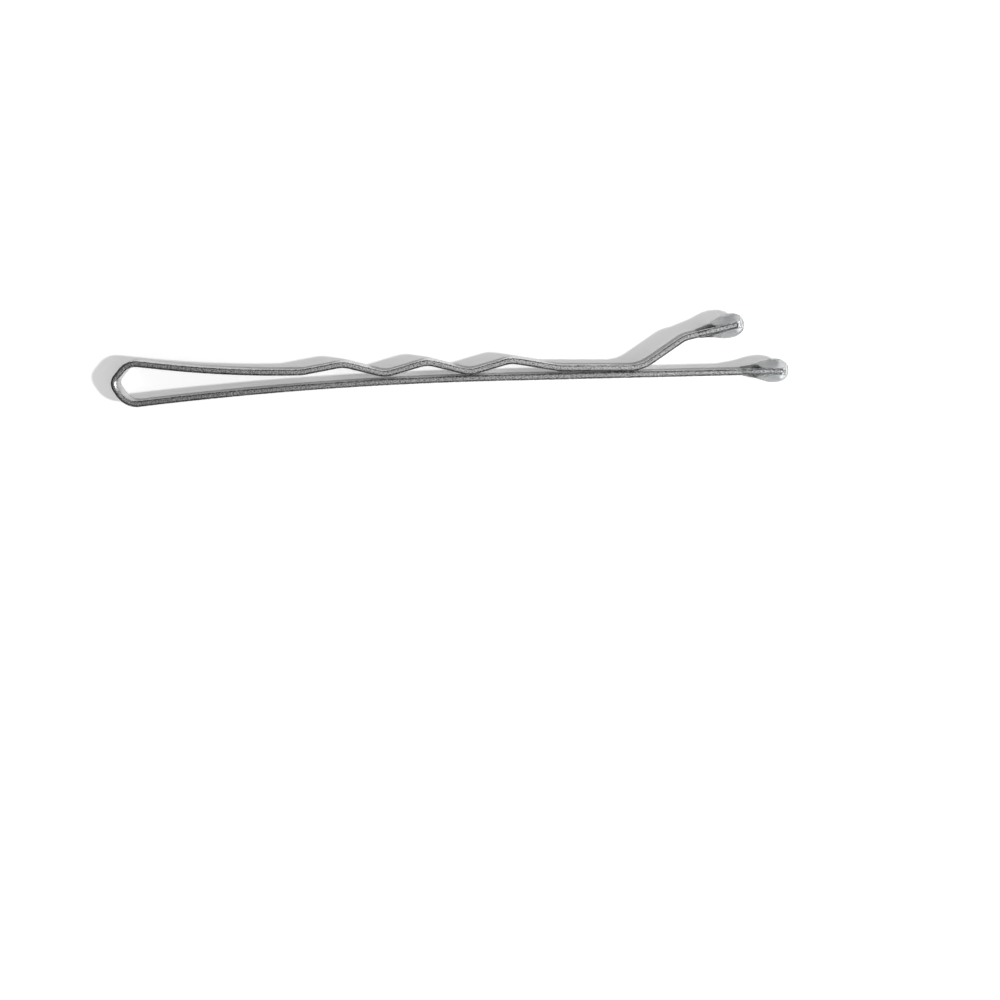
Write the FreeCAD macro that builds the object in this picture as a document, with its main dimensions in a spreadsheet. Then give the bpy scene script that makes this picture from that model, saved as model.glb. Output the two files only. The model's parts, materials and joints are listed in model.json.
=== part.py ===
import FreeCAD
import Part

import math
import os
from collections import namedtuple

import Sketcher
from FreeCAD import Placement, Rotation, Vector

# A bobby pin of flat spring wire, lying on its narrow edge.
# One wire runs from the tip of the straight leg, back round the loop and
# forward again along the waved leg to its lifted tip. Each tip carries a
# drop of clear resin.
#
# Frame: +X runs along the straight leg towards the tips, +Y from the straight
# leg to the waved leg, +Z across the wire's width. The origin ends up in the
# middle of the pin's base.
#
# The wire is laid out as a wire former does it, as runs and bends walked from
# the tip of the straight leg. It is divided where it flexes, so each stretch
# is a sub-part of its own, and the cuts are square to the wire.

SIZES = {
    # whole pin
    "overall_length": 50.0,
    # flat wire, with fully rounded narrow edges
    "wire_width": 1.3,
    "wire_thickness": 0.48,
    # straight leg: a straight front, then a long flare back to the loop
    "straight_front": 21.35,
    "flare_angle": 5.6,
    # loop: three bends with short straights between, placed by the corners
    # that the straights would meet in
    "loop_corner_radius": 1.35,
    "loop_back_radius": 0.54,
    "loop_lower_reach": 0.83,
    "loop_lower_drop": 1.66,
    "loop_upper_reach": 1.26,
    "loop_upper_rise": 1.44,
    # waved leg: air between it and the straight leg's line at the pinch, at the
    # troughs and behind the first wave, and the rise of the grip behind the pinch
    "pinch_gap": 0.02,
    "trough_gap": 0.045,
    "entry_gap": 0.28,
    "heel_rise": 0.11,
    # waved leg: waves, the flat grip in front of them and the rear curve
    "wave_pitch": 6.236,
    "wave_height": 0.7,
    "wave_radius": 2.1,
    "tip_to_last_crest": 20.65,
    "grip_entry": 3.72,
    "grip_length": 4.82,
    "rear_curve_reach": 5.0,
    # lifted end: up, back towards level, and out to the tip
    "lift_angle": 33.9,
    "lift_radius": 2.9,
    "lift_run": 2.58,
    "tip_angle": 12.5,
    "tip_radius": 1.94,
    "tip_run": 3.78,
    # resin drops
    "bead_cover": 0.24,
    "bead_length": 3.5,
    "bead_flank_radius": 2.75,
    "bead_film": 0.03,
    "bead_least_wall": 0.08,
}

WAVE_COUNT = 3

# Where a bend is too large for its straights, it takes these shares of them.
CORNER_SHARE = 0.7
BACK_SHARE = 0.25
REAR_SHARE = 0.45
S_BEND_SHARE = 0.98

doc = FreeCAD.newDocument("BobbyPin")


def add_sheet(name, values):
    """A spreadsheet with one named cell per value."""
    sheet = doc.addObject("Spreadsheet::Sheet", name)
    for row, (alias, value) in enumerate(values.items(), start=1):
        sheet.set("A%d" % row, alias)
        sheet.set("B%d" % row, repr(value))
        sheet.setAlias("B%d" % row, alias)
    doc.recompute()
    return sheet


sizes = add_sheet("Sizes", SIZES)

half_length = sizes.overall_length / 2
half_width = sizes.wire_width / 2
bead_radius = half_width + sizes.bead_cover
flare = math.radians(sizes.flare_angle)
lift = math.radians(sizes.lift_angle)
tip = math.radians(sizes.tip_angle)

# Distance from a drop's widest place forward to the cut end of the wire in it
wire_end_in_bead = math.sqrt((bead_radius - sizes.bead_least_wall) ** 2 - half_width ** 2)


def s_bend(reach, rise, radius):
    """Turn angle, straight and radius of two equal bends that leave level, rise and end level."""
    largest = S_BEND_SHARE * (reach ** 2 + rise ** 2) / (4 * rise)
    fitted = min(radius, largest)
    between_centres = math.hypot(reach, 2 * fitted - rise)
    lean = math.atan2(2 * fitted - rise, reach)
    turn = math.asin(2 * fitted / between_centres) - lean
    straight = between_centres * math.cos(turn + lean)
    return turn, straight, fitted


def bend_in_corner(radius, turn, room):
    """Radius that fits a corner, and the length it takes off each straight."""
    setback = min(radius * math.tan(turn / 2), room)
    return setback / math.tan(turn / 2), setback


# Loop: headings are measured from +X as the wire is walked. It comes in
# towards -X and turns right all the way round.
heading_in = math.pi + flare
heading_lower = math.pi - math.atan2(sizes.loop_lower_drop, sizes.loop_lower_reach)
heading_upper = math.atan2(sizes.loop_upper_rise, sizes.loop_upper_reach)
lower_turn = heading_in - heading_lower
back_turn = heading_lower - heading_upper
lower_side = math.hypot(sizes.loop_lower_reach, sizes.loop_lower_drop)
upper_side = math.hypot(sizes.loop_upper_reach, sizes.loop_upper_rise)
back_radius, back_setback = bend_in_corner(
    sizes.loop_back_radius, back_turn, BACK_SHARE * min(lower_side, upper_side))
lower_radius, lower_setback = bend_in_corner(
    sizes.loop_corner_radius, lower_turn, CORNER_SHARE * lower_side)

# Corners of the loop, from its rearmost point
heading_middle = (heading_lower + heading_upper) / 2
back_centre_x = -half_length + sizes.wire_thickness / 2 + back_radius
back_corner_x = back_centre_x - back_radius / math.cos(back_turn / 2) * math.sin(heading_middle)
lower_corner_x = back_corner_x + sizes.loop_lower_reach
upper_corner_x = back_corner_x + sizes.loop_upper_reach

# Flare of the straight leg, one long arc between its front and the loop
wire_end_x = half_length - bead_radius + wire_end_in_bead
flare_front_x = wire_end_x - sizes.straight_front
flare_rear_x = lower_corner_x + lower_setback * math.cos(flare)
flare_radius = (flare_front_x - flare_rear_x) / math.sin(flare)
flare_rear_y = -flare_radius * (1 - math.cos(flare))
lower_corner_y = flare_rear_y - lower_setback * math.sin(flare)
upper_corner_y = lower_corner_y + sizes.loop_lower_drop + sizes.loop_upper_rise

# Waved leg: heights of its centreline over the straight leg's, and its places
entry_height = sizes.wire_thickness + sizes.entry_gap
trough_height = sizes.wire_thickness + sizes.trough_gap
crest_height = trough_height + sizes.wave_height
heel_height = sizes.wire_thickness + sizes.pinch_gap + sizes.heel_rise
last_crest_x = half_length - sizes.tip_to_last_crest
entry_x = last_crest_x - (WAVE_COUNT - 0.5) * sizes.wave_pitch

# Rear curve: two lines meet in a wide corner in front of the loop
rear_reach = min(sizes.rear_curve_reach, REAR_SHARE * (entry_x - upper_corner_x))
rear_corner_x = entry_x - rear_reach
rear_drop = upper_corner_y - entry_height
rear_turn = math.atan2(rear_drop, rear_corner_x - upper_corner_x)
rear_radius = rear_reach / math.tan(rear_turn / 2)
rear_line = math.hypot(rear_drop, rear_corner_x - upper_corner_x)
upper_turn = heading_upper + rear_turn
upper_radius, upper_setback = bend_in_corner(
    sizes.loop_corner_radius, upper_turn, CORNER_SHARE * min(upper_side, rear_line - rear_reach))
rear_straight = rear_line - upper_setback - rear_reach

# Waves: every rise and fall is an S of two bends with a straight between
half_pitch = sizes.wave_pitch / 2
entry_turn, entry_straight, entry_radius = s_bend(
    half_pitch, crest_height - entry_height, sizes.wave_radius)
wave_turn, wave_straight, wave_bend_radius = s_bend(
    half_pitch, sizes.wave_height, sizes.wave_radius)
fall_turn, fall_straight, fall_radius = s_bend(
    sizes.grip_entry, crest_height - heel_height, sizes.wave_radius)
grip_slope = math.asin(sizes.heel_rise / sizes.grip_length)

# Resin drop: a round nose, then a flank that falls in an S to a thin tail
tail_radius = sizes.wire_thickness / 2 + sizes.bead_film
tail_reach = sizes.bead_length - bead_radius
flank_turn, flank_straight, flank_radius = s_bend(
    tail_reach, bead_radius - tail_radius, sizes.bead_flank_radius)
covered_run = tail_reach + wire_end_in_bead

LEFT = 1
RIGHT = -1

# The bend table. A run is ("run", length); a bend is ("bend", radius, turn, side).
STRETCHES = [
    ("straight_leg_front", [
        ("run", covered_run),
        ("run", sizes.straight_front - covered_run),
    ]),
    ("straight_leg_middle", [
        ("bend", flare_radius, flare / 2, LEFT),
    ]),
    ("straight_leg_rear", [
        ("bend", flare_radius, flare / 2, LEFT),
    ]),
    ("loop_lower_bend", [
        ("bend", lower_radius, lower_turn, RIGHT),
        ("run", (lower_side - lower_setback - back_setback) / 2),
    ]),
    ("loop_back_bend", [
        ("run", (lower_side - lower_setback - back_setback) / 2),
        ("bend", back_radius, back_turn, RIGHT),
        ("run", (upper_side - upper_setback - back_setback) / 2),
    ]),
    ("loop_upper_bend", [
        ("run", (upper_side - upper_setback - back_setback) / 2),
        ("bend", upper_radius, upper_turn, RIGHT),
    ]),
    ("rear_run", [
        ("run", rear_straight),
        ("bend", rear_radius, rear_turn, LEFT),
    ]),
    ("rear_wave", [
        ("bend", entry_radius, entry_turn, LEFT),
        ("run", entry_straight),
        ("bend", entry_radius, entry_turn, RIGHT),
        ("bend", wave_bend_radius, wave_turn, RIGHT),
        ("run", wave_straight),
        ("bend", wave_bend_radius, wave_turn, LEFT),
    ]),
    ("middle_wave", [
        ("bend", wave_bend_radius, wave_turn, LEFT),
        ("run", wave_straight),
        ("bend", wave_bend_radius, 2 * wave_turn, RIGHT),
        ("run", wave_straight),
        ("bend", wave_bend_radius, wave_turn, LEFT),
    ]),
    ("front_wave", [
        ("bend", wave_bend_radius, wave_turn, LEFT),
        ("run", wave_straight),
        ("bend", wave_bend_radius, wave_turn, RIGHT),
        ("bend", fall_radius, fall_turn, RIGHT),
        ("run", fall_straight),
        ("bend", fall_radius, fall_turn, LEFT),
    ]),
    ("grip_run", [
        ("bend", fall_radius, grip_slope, RIGHT),
        ("run", sizes.grip_length),
    ]),
    ("lifted_end", [
        ("bend", sizes.lift_radius, lift + grip_slope, LEFT),
        ("run", sizes.lift_run),
        ("bend", sizes.tip_radius, lift - tip, RIGHT),
        ("run", sizes.tip_run),
    ]),
]


def bend_cells(stretches):
    """The bend table as named cells: NODE_run_N, NODE_radius_N and NODE_turn_N, turns in degrees."""
    cells = {}
    for node, steps in stretches:
        for number, step in enumerate(steps, start=1):
            if step[0] == "run":
                cells["%s_run_%d" % (node, number)] = step[1]
            else:
                cells["%s_radius_%d" % (node, number)] = step[1]
                cells["%s_turn_%d" % (node, number)] = math.degrees(step[2])
    return cells


add_sheet("Bends", bend_cells(STRETCHES))
add_sheet("Drops", {
    "wire_end_in_bead": wire_end_in_bead,
    "flank_radius": flank_radius,
})


def flat_sketch(body, name, plane):
    """A sketch on one of the body's own origin planes."""
    sketch = body.newObject("Sketcher::SketchObject", name)
    support = [part for part in body.Origin.OriginFeatures if part.Role == plane][0]
    sketch.AttachmentSupport = [(support, "")]
    sketch.MapMode = "FlatFace"
    return sketch


def bound(sketch, constraint, expression):
    """Add a constraint whose size follows a cell."""
    index = sketch.addConstraint(constraint)
    sketch.setExpression("Constraints[%d]" % index, expression)


# A sketch numbers its own axes backwards from -1, and the points of an edge from 1
HORIZONTAL_AXIS, VERTICAL_AXIS = range(-1, -3, -1)
START, END, CENTRE = range(1, 4)
ORIGIN_POINT = (HORIZONTAL_AXIS, START)
UP = Vector(0, 0, 1)
QUARTER_TURN = math.pi / 2

Mark = namedtuple("Mark", "begin finish centre begin_heading end_heading")


def from_centre(heading, side):
    """Direction from a bend's centre to the wire where it has this heading."""
    return Vector(math.sin(heading), -math.cos(heading), 0) * side


def walk(steps):
    """Ends, bend centres and headings of the steps, from the origin along +X."""
    place = Vector(0, 0, 0)
    heading = 0
    marks = []
    for step in steps:
        if step[0] == "run":
            finish = place + Vector(math.cos(heading), math.sin(heading), 0) * step[1]
            marks.append(Mark(place, finish, None, heading, heading))
        else:
            radius, turn, side = step[1:]
            centre = place - from_centre(heading, side) * radius
            end_heading = heading + side * turn
            finish = centre + from_centre(end_heading, side) * radius
            marks.append(Mark(place, finish, centre, heading, end_heading))
        place = marks[-1].finish
        heading = marks[-1].end_heading
    return marks


def arc(centre, radius, begin_angle, end_angle):
    """An arc round a centre, turning left from one angle to the other."""
    return Part.ArcOfCircle(Part.Circle(centre, UP, radius), begin_angle, end_angle)


def path_sketch(body, node, steps):
    """The stretch's centreline, starting at the origin and heading along +X."""
    sketch = flat_sketch(body, "Centreline", "XY_Plane")
    previous_end = ORIGIN_POINT
    for number, (step, mark) in enumerate(zip(steps, walk(steps)), start=1):
        if step[0] == "run":
            edge = sketch.addGeometry(Part.LineSegment(mark.begin, mark.finish), False)
            first, last = START, END
        else:
            radius, turn, side = step[1:]
            if side == LEFT:
                angles = (mark.begin_heading - QUARTER_TURN, mark.end_heading - QUARTER_TURN)
                first, last = START, END
            else:
                angles = (mark.end_heading + QUARTER_TURN, mark.begin_heading + QUARTER_TURN)
                first, last = END, START
            edge = sketch.addGeometry(arc(mark.centre, radius, *angles), False)
        if previous_end == ORIGIN_POINT:
            sketch.addConstraint(Sketcher.Constraint("Coincident", edge, first, *ORIGIN_POINT))
            if step[0] == "run":
                sketch.addConstraint(Sketcher.Constraint("Horizontal", edge))
            else:
                sketch.addConstraint(Sketcher.Constraint("PointOnObject", edge, CENTRE, VERTICAL_AXIS))
        else:
            sketch.addConstraint(Sketcher.Constraint("Tangent", *previous_end, edge, first))
        if step[0] == "run":
            bound(sketch, Sketcher.Constraint("Distance", edge, step[1]),
                  "Bends.%s_run_%d" % (node, number))
        else:
            bound(sketch, Sketcher.Constraint("Radius", edge, radius),
                  "Bends.%s_radius_%d" % (node, number))
            bound(sketch, Sketcher.Constraint("Angle", edge, turn),
                  "Bends.%s_turn_%d * 1 deg" % (node, number))
        previous_end = (edge, last)
    return sketch


def wire_outline(body, name):
    """Cross-section of the wire on the YZ plane: flat faces and round narrow edges."""
    sketch = flat_sketch(body, name, "YZ_Plane")
    edge_radius = sizes.wire_thickness / 2
    flat = half_width - edge_radius
    top_arc = sketch.addGeometry(arc(Vector(0, flat, 0), edge_radius, 0, math.pi), False)
    left = sketch.addGeometry(
        Part.LineSegment(Vector(-edge_radius, flat, 0), Vector(-edge_radius, -flat, 0)), False)
    bottom_arc = sketch.addGeometry(arc(Vector(0, -flat, 0), edge_radius, -math.pi, 0), False)
    right = sketch.addGeometry(
        Part.LineSegment(Vector(edge_radius, -flat, 0), Vector(edge_radius, flat, 0)), False)
    loop = [top_arc, left, bottom_arc, right]
    for this, following in zip(loop, loop[1:] + loop[:1]):
        sketch.addConstraint(Sketcher.Constraint("Tangent", this, END, following, START))
    sketch.addConstraint(
        Sketcher.Constraint("Symmetric", top_arc, CENTRE, bottom_arc, CENTRE, *ORIGIN_POINT))
    sketch.addConstraint(Sketcher.Constraint("PointOnObject", top_arc, CENTRE, VERTICAL_AXIS))
    bound(sketch, Sketcher.Constraint("Radius", top_arc, edge_radius), "Sizes.wire_thickness / 2")
    bound(sketch, Sketcher.Constraint("Distance", right, 2 * flat),
          "Sizes.wire_width - Sizes.wire_thickness")
    return sketch


def new_body(node):
    """A sub-part whose label is its node's name."""
    body = doc.addObject("PartDesign::Body", node)
    body.Label = node
    return body


def wire_stretch(node, steps):
    """A stretch of wire: its cross-section carried along its centreline, one set of faces a step."""
    body = new_body(node)
    outline = wire_outline(body, "WireSection")
    path = path_sketch(body, node, steps)
    doc.recompute()
    wire = body.newObject("PartDesign::AdditivePipe", "Wire")
    wire.Profile = outline
    wire.Spine = (path, ["Edge%d" % number for number in range(1, len(steps) + 1)])
    wire.Mode = "Standard"
    wire.Refine = False
    outline.Visibility = False
    path.Visibility = False
    body.Tip = wire
    return body


def bead_profile(body):
    """Half outline of a drop, from its round nose back over a flank to a thin tail."""
    sketch = flat_sketch(body, "DropProfile", "XY_Plane")
    nose_centre = Vector(-wire_end_in_bead, 0, 0)
    front = nose_centre + Vector(bead_radius, 0, 0)
    shoulder_centre = nose_centre + Vector(0, bead_radius - flank_radius, 0)
    tail_centre = nose_centre + Vector(-tail_reach, tail_radius + flank_radius, 0)
    tail_rim = nose_centre + Vector(-tail_reach, tail_radius, 0)
    tail_middle = nose_centre + Vector(-tail_reach, 0, 0)
    shoulder_end = shoulder_centre - from_centre(flank_turn, LEFT) * flank_radius
    tail_begin = tail_centre + from_centre(flank_turn, LEFT) * flank_radius
    flank_angle = QUARTER_TURN + flank_turn
    nose = sketch.addGeometry(arc(nose_centre, bead_radius, 0, QUARTER_TURN), False)
    shoulder = sketch.addGeometry(
        arc(shoulder_centre, flank_radius, QUARTER_TURN, flank_angle), False)
    flank = sketch.addGeometry(Part.LineSegment(shoulder_end, tail_begin), False)
    tail = sketch.addGeometry(
        arc(tail_centre, flank_radius, -QUARTER_TURN, flank_angle - math.pi), False)
    rear = sketch.addGeometry(Part.LineSegment(tail_rim, tail_middle), False)
    axis = sketch.addGeometry(Part.LineSegment(tail_middle, front), False)
    for constraint in (
            Sketcher.Constraint("Tangent", nose, END, shoulder, START),
            Sketcher.Constraint("Tangent", shoulder, END, flank, START),
            Sketcher.Constraint("Tangent", flank, END, tail, END),
            Sketcher.Constraint("Coincident", tail, START, rear, START),
            Sketcher.Constraint("Coincident", rear, END, axis, START),
            Sketcher.Constraint("Coincident", axis, END, nose, START),
            Sketcher.Constraint("Horizontal", axis),
            Sketcher.Constraint("Vertical", rear),
            Sketcher.Constraint("PointOnObject", nose, CENTRE, HORIZONTAL_AXIS),
            Sketcher.Constraint("PointOnObject", nose, START, HORIZONTAL_AXIS),
            Sketcher.Constraint("Vertical", nose, CENTRE, nose, END),
            Sketcher.Constraint("Vertical", tail, CENTRE, tail, START),
            Sketcher.Constraint("Equal", shoulder, tail)):
        sketch.addConstraint(constraint)
    bound(sketch, Sketcher.Constraint("DistanceX", nose, CENTRE, *ORIGIN_POINT, wire_end_in_bead),
          "Drops.wire_end_in_bead")
    bound(sketch, Sketcher.Constraint("Radius", nose, bead_radius),
          "Sizes.wire_width / 2 + Sizes.bead_cover")
    bound(sketch, Sketcher.Constraint("Distance", axis, sizes.bead_length), "Sizes.bead_length")
    bound(sketch, Sketcher.Constraint("Radius", tail, flank_radius), "Drops.flank_radius")
    bound(sketch, Sketcher.Constraint("Distance", rear, tail_radius),
          "Sizes.wire_thickness / 2 + Sizes.bead_film")
    return sketch


def tip_bead(node):
    """A resin drop on a tip. Its origin is the middle of the wire's cut end, +X points out."""
    body = new_body(node)
    profile = bead_profile(body)
    doc.recompute()
    drop = body.newObject("PartDesign::Revolution", "Drop")
    drop.Profile = profile
    drop.ReferenceAxis = (profile, ["H_Axis"])
    drop.Angle = 360
    profile.Visibility = False
    doc.recompute()
    seat = wire_outline(body, "WireSeat")
    doc.recompute()
    cut = body.newObject("PartDesign::Pocket", "WireSeatCut")
    cut.Profile = seat
    cut.Type = "Length"
    cut.setExpression("Length", "Sizes.bead_length")
    seat.Visibility = False
    body.Tip = cut
    return body


# Walk the whole wire from the straight tip and give each stretch its place
straight_tip = Placement(Vector(wire_end_x, 0, 0), Rotation())
place = straight_tip * Placement(Vector(0, 0, 0), Rotation(UP, 180))
parts = []
for node, steps in STRETCHES:
    parts.append((wire_stretch(node, steps), place))
    end = walk(steps)[-1]
    place = place * Placement(end.finish, Rotation(UP, math.degrees(end.end_heading)))
parts.append((tip_bead("straight_tip_bead"), straight_tip))
parts.append((tip_bead("lifted_tip_bead"), place))

for body, body_place in parts:
    body.Placement = body_place
doc.recompute()

# Move the origin to the middle of the base of the whole pin
whole = Part.makeCompound([body.Shape for body, body_place in parts]).optimalBoundingBox(False)
shift = Placement(Vector(-whole.Center.x, -whole.Center.y, -whole.ZMin), Rotation())
for body, body_place in parts:
    body.Placement = shift * body_place
doc.recompute()

for item in doc.Objects:
    if "Invalid" in item.State or "Error" in item.State:
        raise RuntimeError("%s did not recompute" % item.Name)
for body, body_place in parts:
    if body.Shape.isNull() or not body.Shape.isValid():
        raise RuntimeError("%s has no valid shape" % body.Label)

os.makedirs("parts", exist_ok=True)
for body, body_place in parts:
    body.Shape.exportStep("parts/%s.step" % body.Label)
    box = body.Shape.BoundBox
    print("%-18s %2d solid, %7.4f mm3, %d faces, %6.2f..%6.2f, %5.2f..%5.2f, %4.2f..%4.2f" % (
        body.Label, len(body.Shape.Solids), body.Shape.Volume, len(body.Shape.Faces),
        box.XMin, box.XMax, box.YMin, box.YMax, box.ZMin, box.ZMax))
print("flare radius %.1f mm, rear radius %.1f mm, wave turn %.1f degrees" % (
    flare_radius, rear_radius, math.degrees(wave_turn)))
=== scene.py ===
# %% [markdown]
# # A bobby pin of flat spring wire
#
# The real pin is one length of flat steel wire, bent into a loop with a straight leg and a waved
# leg, and both cut ends are dipped in clear resin. There is nothing else to it. So the likeness
# hangs on three things: the exact line of the wire, the way bare plated metal picks up a white
# surface and a dim room, and the way the resin bends the picture of the wire inside it.
#
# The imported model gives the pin's place and its moving bodies. This script draws the finer skin
# over it, and everything is in metres.

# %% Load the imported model
import json
import math

import bpy
import numpy as np
from mathutils import Matrix, Vector


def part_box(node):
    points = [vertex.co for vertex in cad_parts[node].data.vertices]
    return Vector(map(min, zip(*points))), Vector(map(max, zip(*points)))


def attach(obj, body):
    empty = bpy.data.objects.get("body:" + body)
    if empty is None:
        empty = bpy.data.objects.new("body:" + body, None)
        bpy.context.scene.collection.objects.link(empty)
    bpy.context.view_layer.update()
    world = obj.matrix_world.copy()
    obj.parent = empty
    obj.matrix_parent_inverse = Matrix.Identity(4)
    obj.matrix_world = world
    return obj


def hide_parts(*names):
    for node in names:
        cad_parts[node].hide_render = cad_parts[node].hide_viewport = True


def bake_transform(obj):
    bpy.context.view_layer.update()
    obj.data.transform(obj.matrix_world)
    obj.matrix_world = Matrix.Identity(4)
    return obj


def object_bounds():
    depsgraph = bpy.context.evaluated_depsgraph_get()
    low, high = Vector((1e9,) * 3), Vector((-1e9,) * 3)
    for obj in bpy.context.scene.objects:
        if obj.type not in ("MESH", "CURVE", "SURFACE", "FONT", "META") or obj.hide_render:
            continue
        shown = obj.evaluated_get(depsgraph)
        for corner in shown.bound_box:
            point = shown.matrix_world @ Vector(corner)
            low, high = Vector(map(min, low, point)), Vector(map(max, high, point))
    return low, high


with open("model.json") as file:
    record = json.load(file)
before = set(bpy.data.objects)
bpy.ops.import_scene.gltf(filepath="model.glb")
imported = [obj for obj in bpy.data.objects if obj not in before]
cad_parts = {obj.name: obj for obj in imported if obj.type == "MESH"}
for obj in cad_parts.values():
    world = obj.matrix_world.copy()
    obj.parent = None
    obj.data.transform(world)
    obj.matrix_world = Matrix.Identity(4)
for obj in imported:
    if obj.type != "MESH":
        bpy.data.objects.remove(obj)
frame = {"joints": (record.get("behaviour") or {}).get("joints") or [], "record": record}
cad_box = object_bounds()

MM = 0.001
DEGREE = math.pi / 180
print("pin box in mm:", [[round(x / MM, 3) for x in corner] for corner in cad_box])

# %% [markdown]
# ## The wire's sizes
#
# A wire former sets a pin out as runs and bends. The same sizes are used here, in the same words,
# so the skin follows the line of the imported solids. Only the bends of the loop are a little
# rounder than theirs, and they reach as far back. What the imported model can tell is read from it:
# where the wire's cut end is, and how wide and thick the wire is.

# %% Wire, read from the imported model
leg_low, leg_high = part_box("straight_leg_front")
WIRE_THICKNESS = leg_high.y - leg_low.y
WIRE_WIDTH = leg_high.z - leg_low.z
WIRE_END = np.array([leg_high.x, (leg_low.y + leg_high.y) / 2])
WIRE_HEIGHT = (leg_low.z + leg_high.z) / 2
PIN_BACK = cad_box[0].x
PIN_FRONT = cad_box[1].x
print("wire %.2f x %.2f mm, middle %.2f mm up" % (
    WIRE_WIDTH / MM, WIRE_THICKNESS / MM, WIRE_HEIGHT / MM))

# %% Runs and bends, set by the maker
STRAIGHT_FRONT = 21.35 * MM
FLARE = 5.6 * DEGREE
LOOP_CORNER_RADIUS = 1.393 * MM
LOOP_BACK_RADIUS = 0.8 * MM
LOOP_LOWER_REACH = 0.902 * MM
LOOP_LOWER_DROP = 1.66 * MM
LOOP_UPPER_REACH = 1.332 * MM
LOOP_UPPER_RISE = 1.44 * MM
PINCH_GAP = 0.02 * MM
TROUGH_GAP = 0.045 * MM
ENTRY_GAP = 0.28 * MM
HEEL_RISE = 0.11 * MM
WAVE_PITCH = 6.236 * MM
WAVE_HEIGHT = 0.7 * MM
WAVE_RADIUS = 2.1 * MM
WAVE_COUNT = 3
TIP_TO_LAST_CREST = 20.65 * MM
GRIP_ENTRY = 3.72 * MM
GRIP_LENGTH = 4.82 * MM
REAR_CURVE_REACH = 5.0 * MM
LIFT = 33.9 * DEGREE
LIFT_RADIUS = 2.9 * MM
LIFT_RUN = 2.58 * MM
TIP = 12.5 * DEGREE
TIP_RADIUS = 1.94 * MM
TIP_RUN = 3.78 * MM

# %% [markdown]
# ## The bend table
#
# Each step of the table is a length and the angle that the wire turns over it, left being
# positive. A straight run turns by nothing. Corners of the loop are given by where their
# straights would meet, so a bend takes its radius times the tangent of half the turn off each
# straight.


# %% Steps of the table
def run(length):
    """A straight step: its length, and no turn."""
    return length, 0.0


def bend(radius, turn):
    """An even bend: its length is its radius times the turn."""
    return radius * abs(turn), turn


def setback(radius, turn):
    """What a bend takes off each of the straights that it joins."""
    return radius * math.tan(turn / 2)


def s_bend(reach, rise, radius):
    """Turn and straight of two equal bends that leave level, rise and end level.

    The two centres are the reach apart along, and twice the radius less the rise apart across. The
    straight between the bends touches both circles.
    """
    between_centres = math.hypot(reach, 2 * radius - rise)
    lean = math.atan2(2 * radius - rise, reach)
    turn = math.asin(2 * radius / between_centres) - lean
    return turn, between_centres * math.cos(turn + lean)


# %% Loop and legs
lower_heading = math.pi - math.atan2(LOOP_LOWER_DROP, LOOP_LOWER_REACH)
upper_heading = math.atan2(LOOP_UPPER_RISE, LOOP_UPPER_REACH)
lower_turn = math.pi + FLARE - lower_heading
back_turn = lower_heading - upper_heading
lower_side = math.hypot(LOOP_LOWER_REACH, LOOP_LOWER_DROP)
upper_side = math.hypot(LOOP_UPPER_REACH, LOOP_UPPER_RISE)
back_setback = setback(LOOP_BACK_RADIUS, back_turn)
lower_setback = setback(LOOP_CORNER_RADIUS, lower_turn)

back_lean = (lower_heading + upper_heading) / 2
back_centre_x = PIN_BACK + WIRE_THICKNESS / 2 + LOOP_BACK_RADIUS
back_corner_x = back_centre_x - LOOP_BACK_RADIUS / math.cos(back_turn / 2) * math.sin(back_lean)
lower_corner_x = back_corner_x + LOOP_LOWER_REACH
upper_corner_x = back_corner_x + LOOP_UPPER_REACH

flare_front_x = WIRE_END[0] - STRAIGHT_FRONT
flare_rear_x = lower_corner_x + lower_setback * math.cos(FLARE)
flare_radius = (flare_front_x - flare_rear_x) / math.sin(FLARE)
lower_corner_y = -flare_radius * (1 - math.cos(FLARE)) - lower_setback * math.sin(FLARE)
upper_corner_y = lower_corner_y + LOOP_LOWER_DROP + LOOP_UPPER_RISE

entry_height = WIRE_THICKNESS + ENTRY_GAP
crest_height = WIRE_THICKNESS + TROUGH_GAP + WAVE_HEIGHT
heel_height = WIRE_THICKNESS + PINCH_GAP + HEEL_RISE
last_crest_x = PIN_FRONT - TIP_TO_LAST_CREST
entry_x = last_crest_x - (WAVE_COUNT - 0.5) * WAVE_PITCH

rear_corner_x = entry_x - REAR_CURVE_REACH
rear_drop = upper_corner_y - entry_height
rear_turn = math.atan2(rear_drop, rear_corner_x - upper_corner_x)
rear_radius = REAR_CURVE_REACH / math.tan(rear_turn / 2)
rear_line = math.hypot(rear_drop, rear_corner_x - upper_corner_x)
upper_turn = upper_heading + rear_turn
upper_setback = setback(LOOP_CORNER_RADIUS, upper_turn)
rear_straight = rear_line - upper_setback - REAR_CURVE_REACH

lower_straight = lower_side - lower_setback - back_setback
upper_straight = upper_side - upper_setback - back_setback
half_pitch = WAVE_PITCH / 2
entry_turn, entry_straight = s_bend(half_pitch, crest_height - entry_height, WAVE_RADIUS)
wave_turn, wave_straight = s_bend(half_pitch, WAVE_HEIGHT, WAVE_RADIUS)
fall_turn, fall_straight = s_bend(GRIP_ENTRY, crest_height - heel_height, WAVE_RADIUS)
grip_slope = math.asin(HEEL_RISE / GRIP_LENGTH)

LEFT = 1
RIGHT = -1
rise = [bend(WAVE_RADIUS, LEFT * wave_turn), run(wave_straight),
        bend(WAVE_RADIUS, RIGHT * wave_turn)]
fall = [bend(WAVE_RADIUS, RIGHT * wave_turn), run(wave_straight),
        bend(WAVE_RADIUS, LEFT * wave_turn)]

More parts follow.
